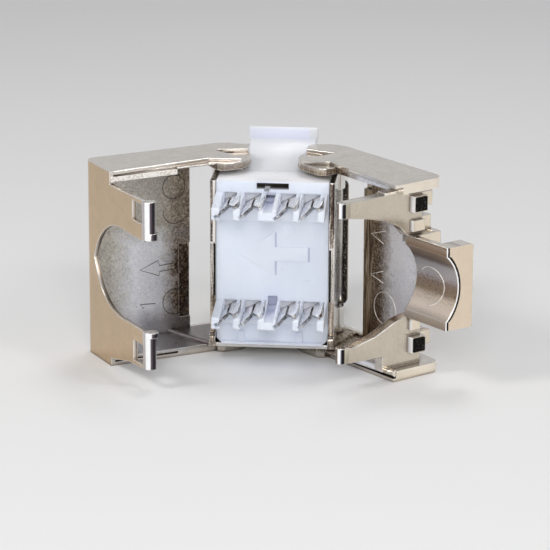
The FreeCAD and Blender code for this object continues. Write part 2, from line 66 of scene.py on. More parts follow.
def wing(side, s, t, z):
    """Wing coordinates (s across, t forward, z up, in mm) to frame metres, as the wings stand."""
    if side == "L":
        a, x, px = LEFT_OPEN, -HALF_W + s, -PIVOT_X
    else:
        a, x, px = RIGHT_OPEN, HALF_W - s, PIVOT_X
    dx, dy = x - px, (PIVOT_Y - PIVOT_T + t) - PIVOT_Y
    return P(px + dx * math.cos(a) - dy * math.sin(a), PIVOT_Y + dx * math.sin(a) + dy * math.cos(a), z)


# ------------------------------------------------------------------ material kit
class Mat:
    def __init__(self, name):
        self.m = bpy.data.materials.new(name)
        self.m.use_nodes = True
        self.nt = self.m.node_tree
        self.nt.nodes.clear()
        self.out = self.node("ShaderNodeOutputMaterial")
        self.bsdf = self.node("ShaderNodeBsdfPrincipled")
        self.link(self.bsdf.outputs[0], self.out.inputs[0])
        self.coord = self.node("ShaderNodeTexCoord").outputs["Object"]

    def node(self, kind, **values):
        n = self.nt.nodes.new(kind)
        for k, v in values.items():
            setattr(n, k, v)
        return n

    def link(self, a, b):
        self.nt.links.new(a, b)

    def noise(self, scale, detail=4.0, rough=0.55, vec=None, distortion=0.0):
        n = self.node("ShaderNodeTexNoise")
        n.inputs["Scale"].default_value = scale
        n.inputs["Detail"].default_value = detail
        n.inputs["Roughness"].default_value = rough
        n.inputs["Distortion"].default_value = distortion
        self.link(vec or self.coord, n.inputs["Vector"])
        return n.outputs["Fac"]

    def ramp(self, fac, *stops):
        r = self.node("ShaderNodeValToRGB")
        e = r.color_ramp.elements
        while len(e) < len(stops):
            e.new(0.5)
        for el, (pos, col) in zip(e, stops):
            el.position = pos
            el.color = col if len(col) == 4 else (*col, 1.0)
        self.link(fac, r.inputs["Fac"])
        return r.outputs["Color"]

    def span(self, fac, lo, hi, a=0.0, b=1.0):
        r = self.node("ShaderNodeMapRange")
        r.inputs["From Min"].default_value = lo
        r.inputs["From Max"].default_value = hi
        r.inputs["To Min"].default_value = a
        r.inputs["To Max"].default_value = b
        r.clamp = True
        self.link(fac, r.inputs["Value"])
        return r.outputs["Result"]

    def math(self, op, a, b=None, clamp=False):
        n = self.node("ShaderNodeMath", operation=op, use_clamp=clamp)
        for sock, v in zip(n.inputs, (a, b)):
            if v is None:
                continue
            if isinstance(v, (int, float)):
                sock.default_value = v
            else:
                self.link(v, sock)
        return n.outputs[0]

    def mix(self, fac, a, b):
        n = self.node("ShaderNodeMix", data_type="RGBA")
        for sock, v in ((n.inputs["Factor"], fac), (n.inputs["A"], a), (n.inputs["B"], b)):
            if isinstance(v, (int, float)):
                sock.default_value = v
            elif isinstance(v, tuple):
                sock.default_value = (*v, 1.0) if len(v) == 3 else v
            else:
                self.link(v, sock)
        return [o for o in n.outputs if o.type == "RGBA"][0]

    def bump(self, height, dist, strength=1.0, normal=None):
        b = self.node("ShaderNodeBump")
        b.inputs["Strength"].default_value = strength
        b.inputs["Distance"].default_value = dist
        self.link(height, b.inputs["Height"])
        if normal is not None:
            self.link(normal, b.inputs["Normal"])
        return b.outputs["Normal"]


def corner_shade_mask(k, dist=0.0006, lo=0.35, hi=0.85):
    """Mask for the painted corner shade: 0 in tight corners, 1 in the open."""
    ao = k.node("ShaderNodeAmbientOcclusion")
    ao.samples = 6
    ao.inputs["Distance"].default_value = dist
    return k.span(ao.outputs["AO"], lo, hi)


def band(k, v, lo0, lo1, hi1, hi0):
    """1 between lo1 and hi1, fading to 0 at lo0 and hi0."""
    return k.math("MULTIPLY", k.span(v, lo0, lo1), k.span(v, hi0, hi1))


def grain_tones(k, scale=1.0):
    """Two mixed noises: soft clouds and fine specks."""
    cloud = k.noise(520.0 * scale, 6.0, 0.65, distortion=0.6)
    speck = k.noise(3400.0 * scale, 4.0, 0.65)
    return k.math("ADD", k.math("MULTIPLY", cloud, 0.5), k.math("MULTIPLY", speck, 0.5)), speck


def shade3(k, fac, base, spread=0.16, lo=0.36, mid=0.50, hi=0.66):
    d = tuple(c * (1.0 - spread) for c in base)
    h = tuple(min(1.0, c * (1.0 + 0.7 * spread)) for c in base)
    return k.ramp(fac, (lo, d), (mid, base), (hi, h))


def soft_edges(k, radius=0.00016):
    """Normal that rounds the edges off, and a mask that is 1 along them."""
    bv = k.node("ShaderNodeBevel")
    bv.samples = 8
    bv.inputs["Radius"].default_value = radius
    geo = k.node("ShaderNodeNewGeometry")
    dot = k.node("ShaderNodeVectorMath", operation="DOT_PRODUCT")
    k.link(bv.outputs[0], dot.inputs[0])
    k.link(geo.outputs["Normal"], dot.inputs[1])
    return bv.outputs[0], k.span(dot.outputs["Value"], 0.985, 0.87)


def finish_metal(k, col, rough, bumps, satin=None, edge_highlight=(1.0, 0.98, 0.95), edge_gain=0.9):
    """Painted shade in tight corners, painted highlight along the edges, then roughness and the bump chain; satin
    lowers the mirror part, for satin areas and under painted highlights.
    """
    b = k.bsdf
    cr = corner_shade_mask(k)
    round_n, edge = soft_edges(k)
    edge = k.math("MULTIPLY", k.math("MULTIPLY", edge, k.span(cr, 0.75, 0.98)), edge_gain)
    # painted shade: multiply the colour darker where the corner mask is low
    dark = k.node("ShaderNodeMix", data_type="RGBA", blend_type="MULTIPLY")
    dark.inputs["Factor"].default_value = 1.0
    k.link(col, [i for i in dark.inputs if i.type == "RGBA"][0])
    k.link(k.ramp(cr, (0.0, (0.22, 0.17, 0.14)), (1.0, (1.0, 1.0, 1.0))), [i for i in dark.inputs if i.type == "RGBA"][1])
    col = [o for o in dark.outputs if o.type == "RGBA"][0]
    # painted highlight: a bright colour along the convex edges, made less metallic below
    col = k.mix(edge, col, edge_highlight)
    k.link(col, b.inputs["Base Color"])
    less = k.math("MULTIPLY", edge, 0.45)
    if satin is not None:
        less = k.math("MAXIMUM", less, satin)
    k.link(k.math("SUBTRACT", 1.0, less), b.inputs["Metallic"])
    k.link(rough, b.inputs["Roughness"])
    n = round_n
    for height, dist, strength in bumps:
        n = k.bump(height, dist, strength, n)
    k.link(n, b.inputs["Normal"])


def plated_shell(name):
    """Bright nickel over a die casting; the rear ends of the flanks are darker, with painted black shade in the gap
    beside the block; the ribs carry a painted dark reflection on their near side.
    """
    k = Mat(name)
    k.bsdf.inputs["Metallic"].default_value = 1.0
    both, speck = grain_tones(k)
    col = shade3(k, both, (0.75, 0.735, 0.70), 0.10)
    sep = k.node("ShaderNodeSeparateXYZ")
    k.link(k.coord, sep.inputs[0])
    x = k.math("MULTIPLY", sep.outputs[0], 1000.0)
    y = k.math("ADD", k.math("MULTIPLY", sep.outputs[1], 1000.0), OFF.y)
    z = k.math("ADD", k.math("MULTIPLY", sep.outputs[2], 1000.0), OFF.z)
    ax = k.math("ABSOLUTE", x)
    # rear ends of the flanks: brown upright streaks, a painted highlight along a step, and painted black shade in the
    # gap beside the block
    st = k.noise(1.0, 3.0, 0.6, vec=stretched(k, (5200.0, 300.0, 260.0)))
    fleck = k.noise(5200.0, 2.0, 0.6)
    st = k.math("ADD", k.math("MULTIPLY", st, 0.7), k.math("MULTIPLY", fleck, 0.3))
    dull = k.ramp(st, (0.43, (0.025, 0.017, 0.014)), (0.51, (0.12, 0.088, 0.07)), (0.57, (0.34, 0.28, 0.24)), (0.63, (0.88, 0.80, 0.74)))
    pale = k.ramp(st, (0.38, (0.10, 0.08, 0.07)), (0.47, (0.48, 0.43, 0.39)), (0.60, (0.90, 0.86, 0.82)))
    tan = k.ramp(st, (0.38, (0.06, 0.045, 0.035)), (0.48, (0.30, 0.24, 0.19)), (0.62, (0.80, 0.70, 0.60)))
    right_side = k.span(x, -0.1, 0.1)
    top_z = k.math("SUBTRACT", 2.3, k.math("MULTIPLY", right_side, 0.45))
    low_z = k.math("SUBTRACT", -3.9, k.math("MULTIPLY", right_side, 0.5))
    above = k.span(k.math("SUBTRACT", z, top_z), -0.05, 0.05)
    below = k.span(k.math("SUBTRACT", low_z, z), -0.05, 0.05)
    # left upper part: a pale streak up the middle
    mid_line = k.math("MULTIPLY", k.math("MULTIPLY", band(k, ax, 6.38, 6.48, 6.66, 6.74), k.math("SUBTRACT", 1.0, right_side)), above)
    streak = k.mix(above, pale, dull)
    streak = k.mix(mid_line, streak, (0.92, 0.88, 0.84))
    streak = k.mix(below, streak, tan)
    # painted shade: a near-black band in the gap beside the block
    gap_shade = k.math("MULTIPLY", band(k, ax, 6.2, 6.22, 6.60, 6.64),
                   k.math("MULTIPLY", k.math("SUBTRACT", 1.0, above), k.math("SUBTRACT", 1.0, below)))
    streak = k.mix(gap_shade, streak, (0.008, 0.007, 0.007))
    # painted highlight: a bright broken line along the step
    step = band(k, k.math("SUBTRACT", z, top_z), -0.16, -0.08, 0.02, 0.10)
    streak = k.mix(k.math("MULTIPLY", step, k.span(fleck, 0.42, 0.52)), streak, (0.95, 0.92, 0.90))
    rear = k.math("MULTIPLY", k.span(y, 0.16, 0.08), band(k, ax, 6.2, 6.3, 7.1, 7.2))
    col = k.mix(rear, col, streak)
    # ribs: a painted dark glossy reflection on the side that faces backwards, with painted glint specks and a golden
    # outer edge
    rib_reflection = k.math("MULTIPLY", k.span(ax, 7.08, 7.36), band(k, y, 8.85, 8.95, 10.85, 10.95))
    rib_glints = k.ramp(fleck, (0.50, (0.020, 0.017, 0.015)), (0.60, (0.06, 0.050, 0.042)), (0.66, (0.20, 0.17, 0.14)), (0.74, (0.6, 0.55, 0.48)))
    rib_glints = k.mix(k.span(ax, 7.80, 7.89), rib_glints, (0.55, 0.42, 0.26))
    col = k.mix(rib_reflection, col, rib_glints)
    rough = k.span(k.noise(900.0, 4.0), 0.3, 0.7, 0.10, 0.20)
    finish_metal(k, col, rough, ((k.noise(260.0, 2.0, 0.45), 0.00006, 0.4), (k.noise(1500.0, 3.0, 0.55), 0.000018, 0.5)))
    return k


def stretched(k, scale):
    mp = k.node("ShaderNodeMapping")
    mp.inputs["Scale"].default_value = scale
    k.link(k.coord, mp.inputs["Vector"])
    return mp.outputs[0]


def wing_plate(name, side):
    """Plated wing: outer faces smooth, the inside of the casting left grainy, darker near the hinge."""
    k = Mat(name)
    left = side == "L"
    # wing coordinates (s, t, z in mm) and facing (n_s, n_t, n_z) from the object's own coordinates
    a = -LEFT_OPEN if left else -RIGHT_OPEN
    px = -PIVOT_X if left else PIVOT_X
    sgn = 1.0 if left else -1.0
    sub = k.node("ShaderNodeVectorMath", operation="SUBTRACT")
    k.link(k.coord, sub.inputs[0])
    sub.inputs[1].default_value = P(px, PIVOT_Y, 0.0)
    rot = k.node("ShaderNodeVectorRotate", rotation_type="Z_AXIS")
    rot.inputs["Angle"].default_value = a
    k.link(sub.outputs[0], rot.inputs["Vector"])
    sep = k.node("ShaderNodeSeparateXYZ")
    k.link(rot.outputs[0], sep.inputs[0])
    s = k.math("ADD", k.math("MULTIPLY", sep.outputs[0], sgn * 1000.0), HALF_W - PIVOT_X)
    t = k.math("ADD", k.math("MULTIPLY", sep.outputs[1], 1000.0), PIVOT_T)
    z = k.math("ADD", k.math("MULTIPLY", sep.outputs[2], 1000.0), 0.0)
    absz = k.math("ABSOLUTE", z)
    facing = k.node("ShaderNodeTexCoord").outputs["Normal"]
    rn = k.node("ShaderNodeVectorRotate", rotation_type="Z_AXIS")
    rn.inputs["Angle"].default_value = a
    k.link(facing, rn.inputs["Vector"])
    nsp = k.node("ShaderNodeSeparateXYZ")
    k.link(rn.outputs[0], nsp.inputs[0])
    n_s = k.math("MULTIPLY", nsp.outputs[0], sgn)
    n_t, n_z = nsp.outputs[1], nsp.outputs[2]
    osp = k.node("ShaderNodeSeparateXYZ")
    k.link(facing, osp.inputs[0])

    both, speck = grain_tones(k)
    fleck = k.noise(4600.0, 3.0, 0.65, distortion=0.5)
    wob = k.math("MULTIPLY", k.math("SUBTRACT", k.noise(900.0, 5.0, 0.7), 0.5), 3.2)
    # outer faces
    col = shade3(k, both, (0.72, 0.665, 0.60), 0.13)
    # rear faces: a warmer painted reflection tone; on the right wing, lighter painted reflection tones on the proud
    # faces, the end plate and near the top and bottom
    rear = k.math("MULTIPLY", k.span(n_t, -0.55, -0.75), k.span(absz, 11.3, 11.2))
    if left:
        rear = k.math("MULTIPLY", rear, k.span(t, 0.40, 0.30))
        rear_reflection_tone = shade3(k, both, (0.60, 0.45, 0.295), 0.11)
    else:
        rear = k.math("MULTIPLY", rear, k.span(t, 4.3, 4.1))
        rear_reflection_tone = shade3(k, both, (0.655, 0.588, 0.490), 0.10)
        proud = k.math("MULTIPLY", k.span(s, 4.2, 4.1), k.span(k.math("ABSOLUTE", k.math("SUBTRACT", t, 1.1)), 0.1, 0.2))
        rear_reflection_tone = k.mix(proud, rear_reflection_tone, shade3(k, both, (0.87, 0.765, 0.62), 0.08))
        rear_reflection_tone = k.mix(k.span(t, -5.2, -5.4), rear_reflection_tone, shade3(k, both, (0.86, 0.725, 0.57), 0.07))
        rear_reflection_tone = k.mix(k.span(absz, 9.96, 10.0), rear_reflection_tone, shade3(k, both, (0.96, 0.87, 0.74), 0.07))
    col = k.mix(rear, col, rear_reflection_tone)
    # inside of the casting: grainy, lilac grey, browner towards the hinge end
    inside = k.math("MULTIPLY", k.math("MULTIPLY", k.span(s, 0.50, 0.62), k.span(t, 0.52 if left else 2.4, 0.62 if left else 2.7)),
                    k.span(absz, 10.9, 10.3))
    bars = k.span(s, 15.35, 15.45) if left else k.span(s, 12.25, 12.35)
    inside = k.math("MULTIPLY", inside, k.math("SUBTRACT", 1.0, bars))
    inside = k.math("MULTIPLY", inside, k.math("SUBTRACT", 1.0, rear))
    tw = k.math("ADD", t, wob)
    zw = k.math("ADD", z, wob)
    if left:
        lilac, beige = (0.93, 0.93, 0.99), (0.50, 0.465, 0.405)
        far = k.math("MAXIMUM", k.span(tw, 5.8, 2.6), k.math("MULTIPLY", k.span(zw, 0.4, 2.8), 0.95))
        near = k.span(tw, 9.0, 10.9)
        near = k.math("MULTIPLY", near, k.math("ADD", 0.70, k.math("MULTIPLY", k.span(zw, 1.4, 0.2), 0.30)))
        satin = k.math("MULTIPLY", inside, k.math("MULTIPLY", k.math("SUBTRACT", 1.0, near), 0.11))
    else:
        lilac, beige = (0.95, 0.94, 1.0), (0.62, 0.58, 0.55)
        far = k.math("MULTIPLY", k.span(tw, 4.2, 2.8), 0.4)
        near = k.span(tw, 7.6, 9.8)
        satin = k.math("MULTIPLY", inside, k.math("MULTIPLY", k.math("SUBTRACT", 1.0, near), 0.35))
    mixed = k.math("ADD", k.math("MULTIPLY", both, 0.45), k.math("MULTIPLY", fleck, 0.55))
    l_col = shade3(k, mixed, lilac, 0.24, 0.36, 0.48, 0.60)
    g_col = shade3(k, mixed, beige, 0.42, 0.38, 0.50, 0.62)
    b_col = k.ramp(mixed, (0.38, (0.035, 0.022, 0.016)), (0.47, (0.19, 0.135, 0.095)), (0.53, (0.38, 0.29, 0.22)), (0.61, (0.80, 0.68, 0.57)))
    if not left:
        # upright streaks at the hinge end
        sk = k.noise(1.0, 3.0, 0.6, vec=stretched(k, (4200.0, 4200.0, 260.0)))
        b_col = k.mix(k.span(t, 10.7, 11.2), b_col,
                      k.ramp(sk, (0.40, (0.10, 0.07, 0.045)), (0.50, (0.36, 0.28, 0.19)), (0.60, (0.62, 0.52, 0.40))))
    in_col = k.mix(far, l_col, g_col)
    in_col = k.mix(near, in_col, b_col)
    if left:
        low = k.math("MULTIPLY", k.span(zw, -6.9, -8.8), k.span(tw, 4.5, 7.0))
        in_col = k.mix(k.math("MULTIPLY", low, 0.75), in_col, (0.30, 0.28, 0.29))
        # thinner border at the front end of the side wall
        border = k.math("MULTIPLY", k.span(tw, 10.7, 11.2), band(k, zw, -8.9, -8.2, -0.2, 0.5))
        in_col = k.mix(k.math("MULTIPLY", border, 0.85), in_col,
                       k.ramp(mixed, (0.42, (0.020, 0.013, 0.010)), (0.52, (0.085, 0.055, 0.038)), (0.61, (0.42, 0.33, 0.26))))
    col = k.mix(inside, col, in_col)
    if left:
        # cut faces of the rear wall around the opening and the windows: a painted highlight at the outer edge, fading
        # into painted shade deeper in
        cut = k.math("MULTIPLY", band(k, t, 0.02, 0.06, 0.46, 0.52), k.math("MULTIPLY", k.span(s, 2.2, 2.3), k.span(absz, 10.0, 9.9)))
        cut = k.math("MULTIPLY", cut, k.math("MULTIPLY", k.span(k.math("ABSOLUTE", n_t), 0.7, 0.5), k.math("SUBTRACT", 1.0, bars)))
        col = k.mix(cut, col, k.ramp(k.span(t, 0.0, 0.5), (0.0, (1.0, 0.96, 0.90)), (0.40, (0.80, 0.72, 0.62)), (0.75, (0.30, 0.22, 0.16))))
        # bead under the top wall: a painted bright highlight, made less metallic so it stays white
        rod = k.math("MULTIPLY", k.math("MULTIPLY", k.span(s, 6.3, 6.4), k.span(s, 7.6, 7.5)), k.math("MULTIPLY", band(k, z, 10.0, 10.05, 10.66, 10.7), k.span(t, 8.45, 8.4)))
        rod = k.math("MULTIPLY", rod, k.span(t, 0.1, 0.2))
        col = k.mix(rod, col, k.ramp(mixed, (0.42, (0.55, 0.45, 0.32)), (0.50, (1.0, 0.96, 0.90))))
        satin = k.math("MAXIMUM", satin, k.math("MULTIPLY", rod, 0.75))
    else:
        # cut edges of the plate around the opening, facing up: a painted highlight at the front, fading into painted
        # shade further back
        rim = k.math("MULTIPLY", band(k, t, 1.14, 1.18, 2.4, 2.5), k.math("MULTIPLY", k.span(n_z, 0.25, 0.45), band(k, z, -8.0, -7.5, -4.0, -3.9)))
        col = k.mix(rim, col, k.ramp(k.span(t, 1.15, 2.4), (0.0, (1.0, 0.92, 0.80)), (0.35, (0.95, 0.78, 0.62)), (0.8, (0.62, 0.47, 0.36)), (1.0, (0.35, 0.27, 0.22))))
        # inner ends of the small blocks: a painted white highlight, made less metallic so it stays white
        block_end_highlight = k.math("MULTIPLY", k.math("MULTIPLY", k.span(n_s, 0.6, 0.8), band(k, s, 3.6, 3.65, 3.95, 4.0)), band(k, t, 0.2, 0.25, 1.12, 1.2))
        block_end_highlight = k.math("MULTIPLY", block_end_highlight, k.span(absz, 3.8, 3.9))
        col = k.mix(block_end_highlight, col, (0.97, 0.97, 1.0))
        satin = k.math("MAXIMUM", satin, k.math("MULTIPLY", block_end_highlight, 0.9))
        # rounded cable channel: painted reflection bands that run along it
        cs = k.math("MULTIPLY", k.span(t, 1.42, 1.30), k.span(s, 1.9, 2.1))
        cs = k.math("MULTIPLY", cs, band(k, z, -4.6, -4.5, 4.90, 4.94))
        cs = k.math("MULTIPLY", cs, k.span(s, 4.35, 4.2))
        cs = k.math("MULTIPLY", cs, k.span(k.math("ABSOLUTE", n_t), 0.6, 0.4))
        zc = k.math("ADD", z, k.math("MULTIPLY", k.math("SUBTRACT", mixed, 0.5), 1.3))
        zz = k.span(zc, -4.5, 4.95)
        chan = k.ramp(zz, (0.0, (0.38, 0.31, 0.26)), (0.085, (0.50, 0.43, 0.37)), (0.115, (0.66, 0.57, 0.48)), (0.17, (0.90, 0.76, 0.63)),
                      (0.30, (0.88, 0.74, 0.60)), (0.37, (0.36, 0.26, 0.18)), (0.47, (0.34, 0.25, 0.19)), (0.56, (0.52, 0.47, 0.46)),
                      (0.70, (0.58, 0.56, 0.57)), (0.76, (0.26, 0.21, 0.20)), (0.86, (0.42, 0.32, 0.24)), (0.90, (0.30, 0.20, 0.13)),
                      (0.97, (0.46, 0.35, 0.26)), (1.0, (0.10, 0.07, 0.05)))
        pits = k.math("MULTIPLY", k.span(fleck, 0.47, 0.36), band(k, zc, -2.6, -1.2, 0.2, 1.2))
        chan = k.mix(k.math("MULTIPLY", pits, 0.8), chan, (0.10, 0.07, 0.05))
        col = k.mix(cs, col, chan)
        satin = k.math("MAXIMUM", satin, k.math("MULTIPLY", cs, 0.25))
        # rim of the channel on its end plate: a painted highlight line, then a painted black reflection line
        q = k.math("SUBTRACT", s, 7.371)
        r = k.math("SUBTRACT", z, 0.19)
        arc = k.math("SUBTRACT", k.math("SQRT", k.math("ADD", k.math("MULTIPLY", q, q), k.math("MULTIPLY", r, r))), 4.931)
        on_arc = band(k, z, -3.52, -3.48, 3.86, 3.90)
        d = k.math("ADD", k.math("MULTIPLY", arc, on_arc), k.math("MULTIPLY", k.math("SUBTRACT", 4.1, s), k.math("SUBTRACT", 1.0, on_arc)))
        d = k.math("ADD", d, k.math("MULTIPLY", k.math("SUBTRACT", fleck, 0.5), 0.14))
        d01 = k.span(d, -0.05, 0.45)
        at_rim = k.math("MULTIPLY", k.math("MULTIPLY", rear, k.span(t, -5.3, -5.42)), k.span(d01, 1.0, 0.93))
        at_rim = k.math("MULTIPLY", at_rim, k.span(z, 4.95, 4.90))
        col = k.mix(at_rim, col, k.ramp(d01, (0.0, (1.0, 1.0, 1.0)), (0.36, (1.0, 1.0, 1.0)), (0.44, (0.015, 0.010, 0.012)), (0.80, (0.02, 0.015, 0.012)), (1.0, (0.55, 0.45, 0.34))))
        satin = k.math("MAXIMUM", satin, k.math("MULTIPLY", at_rim, k.span(d01, 0.42, 0.34)))
    # polished bars at the finger tips: a painted reflection, a bright and a dark upright stripe
    nx = k.span(osp.outputs[0], -1.0, 1.0)
    if left:
        bar_reflection = k.ramp(nx, (0.0, (0.50, 0.44, 0.40)), (0.08, (0.62, 0.58, 0.58)), (0.13, (1.0, 1.0, 1.0)), (0.52, (1.0, 0.99, 1.0)),
                        (0.60, (0.16, 0.13, 0.15)), (0.82, (0.030, 0.024, 0.030)), (0.94, (0.05, 0.04, 0.045)), (1.0, (0.5, 0.47, 0.45)))
        bar_glint = band(k, nx, 0.10, 0.14, 0.50, 0.56)
    else:
        bar_reflection = k.ramp(nx, (0.0, (0.30, 0.24, 0.20)), (0.18, (0.22, 0.16, 0.13)), (0.26, (1.0, 1.0, 1.0)), (0.44, (1.0, 1.0, 1.0)),
                        (0.52, (0.34, 0.35, 0.42)), (0.58, (0.020, 0.018, 0.020)), (0.80, (0.025, 0.022, 0.022)), (0.88, (0.80, 0.72, 0.58)))
        bar_glint = band(k, nx, 0.22, 0.27, 0.43, 0.48)
    flat = k.span(k.math("ABSOLUTE", n_z), 0.45, 0.30)
    on_bar = k.math("MULTIPLY", bars, flat)
    col = k.mix(on_bar, col, bar_reflection)
    satin = k.math("MULTIPLY", satin, k.math("SUBTRACT", 1.0, on_bar))
    satin = k.math("MAXIMUM", satin, k.math("MULTIPLY", k.math("MULTIPLY", on_bar, bar_glint), 0.8))
    rough = k.math("ADD", k.span(k.noise(800.0, 4.0), 0.3, 0.7, 0.10, 0.19), k.math("MULTIPLY", inside, 0.17))
    rough = k.math("ADD", rough, k.math("MULTIPLY", cut if left else cs, 0.18))
    fine = k.math("MULTIPLY", fleck, k.math("ADD", k.math("MULTIPLY", inside, 1.8), 0.22))
    finish_metal(k, col, rough, ((k.noise(240.0, 2.0, 0.45), 0.00005, 0.4), (fine, 0.00003, 0.8)), satin=satin)
    return k


def drawing_xyz(k):
    sep = k.node("ShaderNodeSeparateXYZ")
    k.link(k.coord, sep.inputs[0])
    return [k.math("ADD", k.math("MULTIPLY", sep.outputs[i], 1000.0), OFF[i]) for i in range(3)]


def block_zones(k, col):
    """Warmer white behind the rear plane, and painted shade that darkens the slot under the upper edge."""
    x, y, z = drawing_xyz(k)
    col = k.mix(k.span(y, 0.10, 0.30), col, (0.915, 0.92, 0.97))
    # raised arrow: painted a little lighter as a highlight, with a painted soft shadow behind its right-facing steps
    on_panel = k.math("MULTIPLY", k.span(y, 0.20, 0.16), k.span(k.math("ABSOLUTE", z), 4.2, 4.1))
    arrow_highlight = k.math("MULTIPLY", k.span(y, -0.06, -0.10), on_panel)
    arrow_highlight = k.math("MULTIPLY", arrow_highlight, k.span(y, -0.20, -0.16))
    col = k.mix(k.math("MULTIPLY", arrow_highlight, 0.5), col, (0.845, 0.893, 1.0))
    arrow_shadow = k.math("MULTIPLY", band(k, x, 0.28, 0.34, 0.46, 0.56), k.math("MAXIMUM", band(k, z, 1.93, 1.97, 3.50, 3.75), band(k, z, -1.45, -1.2, 0.30, 0.34)))
    arrow_shadow = k.math("MAXIMUM", arrow_shadow, k.math("MULTIPLY", band(k, x, 4.00, 4.06, 4.18, 4.28), band(k, z, 0.26, 0.34, 1.93, 2.0)))
    col = k.mix(k.math("MULTIPLY", k.math("MULTIPLY", arrow_shadow, on_panel), 0.75), col, (0.50, 0.53, 0.68))
    # grooves on the middle towers fall into shade towards the back
    grooves = k.math("MAXIMUM", k.math("MULTIPLY", band(k, x, -0.66, -0.62, 0.42, 0.46), band(k, z, 7.18, 7.22, 8.2, 8.3)),
                     k.math("MULTIPLY", band(k, x, -0.49, -0.45, 0.60, 0.64), band(k, z, -5.42, -5.38, -3.8, -3.7)))
    grooves = k.math("MULTIPLY", grooves, k.span(y, 0.6, 0.5))
    col = k.mix(grooves, col, k.ramp(k.span(y, -5.2, 0.2), (0.0, (0.82, 0.85, 0.95)), (0.5, (0.72, 0.75, 0.87)), (1.0, (0.55, 0.57, 0.70))))
    # painted shade: the slot darkens with depth
    slot_shade = k.math("MULTIPLY", band(k, x, -1.84, -1.76, 1.78, 1.86), band(k, z, 8.50, 8.56, 9.34, 9.40))
    slot_shade = k.math("MULTIPLY", slot_shade, k.span(y, 0.12, 0.22))
    return k.mix(slot_shade, col, k.ramp(k.span(y, 0.1, 1.6), (0.0, (0.60, 0.61, 0.66)), (0.30, (0.46, 0.46, 0.49)), (0.55, (0.16, 0.14, 0.11)), (1.0, (0.035, 0.026, 0.016))))


def latch_zones(k, col):
    """The ridge's rear face gets a cooler painted shade than the sloped tongue."""
    x, y, z = drawing_xyz(k)
    nsep = k.node("ShaderNodeSeparateXYZ")
    k.link(k.node("ShaderNodeTexCoord").outputs["Normal"], nsep.inputs[0])
    # painted shade: cooler tint on the ridge's rear face
    face = k.math("MULTIPLY", k.span(nsep.outputs[1], -0.8, -0.95), k.span(z, 10.95, 11.1))
    face = k.math("MULTIPLY", face, k.span(x, 3.2, 2.9))
    return k.mix(face, col, (0.79, 0.81, 0.95))


def plastic(name, light, dark, rough=0.38, sss=0.25, grain=0.4, zones=None):
    """Moulded plastic: slight tone drift, fine mould texture, a little light going through."""
    k = Mat(name)
    b = k.bsdf
    cloud = k.noise(150.0, 3.0, 0.5)
    col = k.ramp(cloud, (0.35, dark), (0.62, light))
    if zones is not None:
        col = zones(k, col)
    k.link(col, b.inputs["Base Color"])
    k.link(k.span(k.noise(700.0, 3.0), 0.3, 0.7, rough * 0.85, rough * 1.2), b.inputs["Roughness"])
    b.inputs["Subsurface Weight"].default_value = sss
    b.inputs["Subsurface Radius"].default_value = (1.0, 1.0, 1.0)
    b.inputs["Subsurface Scale"].default_value = 0.0012
    b.inputs["IOR"].default_value = 1.48
    n = k.bump(k.noise(2600.0, 4.0, 0.6), 0.000012 * grain, 0.6)
    n = k.bump(k.noise(320.0, 2.0), 0.00003 * grain, 0.5, n)
    k.link(n, b.inputs["Normal"])
    return k


def bright(name, light, dark, rough=0.2, streak=(2600.0, 2600.0, 300.0)):
    """Drawn or stamped bright metal with fine streaks."""
    k = Mat(name)
    b = k.bsdf
    b.inputs["Metallic"].default_value = 1.0
    mp = k.node("ShaderNodeMapping")
    mp.inputs["Scale"].default_value = streak
    k.link(k.coord, mp.inputs["Vector"])
    st = k.noise(1.0, 4.0, 0.6, vec=mp.outputs[0])
    k.link(k.ramp(st, (0.36, dark), (0.6, light)), b.inputs["Base Color"])
    k.link(k.span(st, 0.3, 0.7, rough * 0.75, rough * 1.4), b.inputs["Roughness"])
    k.link(k.bump(st, 0.000008, 0.5), b.inputs["Normal"])
    return k


def fork_metal(name):
    """Tinned blades: the broad faces are pale and satin, the cut edges brighter and darker by turns."""
    k = Mat(name)
    b = k.bsdf
    dot = k.node("ShaderNodeVectorMath", operation="DOT_PRODUCT")
    k.link(k.node("ShaderNodeTexCoord").outputs["Normal"], dot.inputs[0])
    dot.inputs[1].default_value = (-0.469, 0.0, 0.883)
    broad = k.span(k.math("ABSOLUTE", dot.outputs["Value"]), 0.75, 0.9)
    st = k.noise(1.0, 4.0, 0.6, vec=stretched(k, (2600.0, 500.0, 2600.0)))
    edge_col = k.ramp(st, (0.40, (0.30, 0.28, 0.26)), (0.50, (0.72, 0.70, 0.67)), (0.60, (0.95, 0.94, 0.92)))
    col = k.mix(broad, edge_col, k.ramp(st, (0.36, (0.80, 0.81, 0.85)), (0.62, (0.95, 0.955, 0.985))))
    k.link(col, b.inputs["Base Color"])
    k.link(k.math("SUBTRACT", 1.0, k.math("MULTIPLY", broad, 0.60)), b.inputs["Metallic"])
    k.link(k.span(st, 0.3, 0.7, 0.16, 0.30), b.inputs["Roughness"])
    k.link(k.bump(st, 0.000008, 0.5), b.inputs["Normal"])
    return k


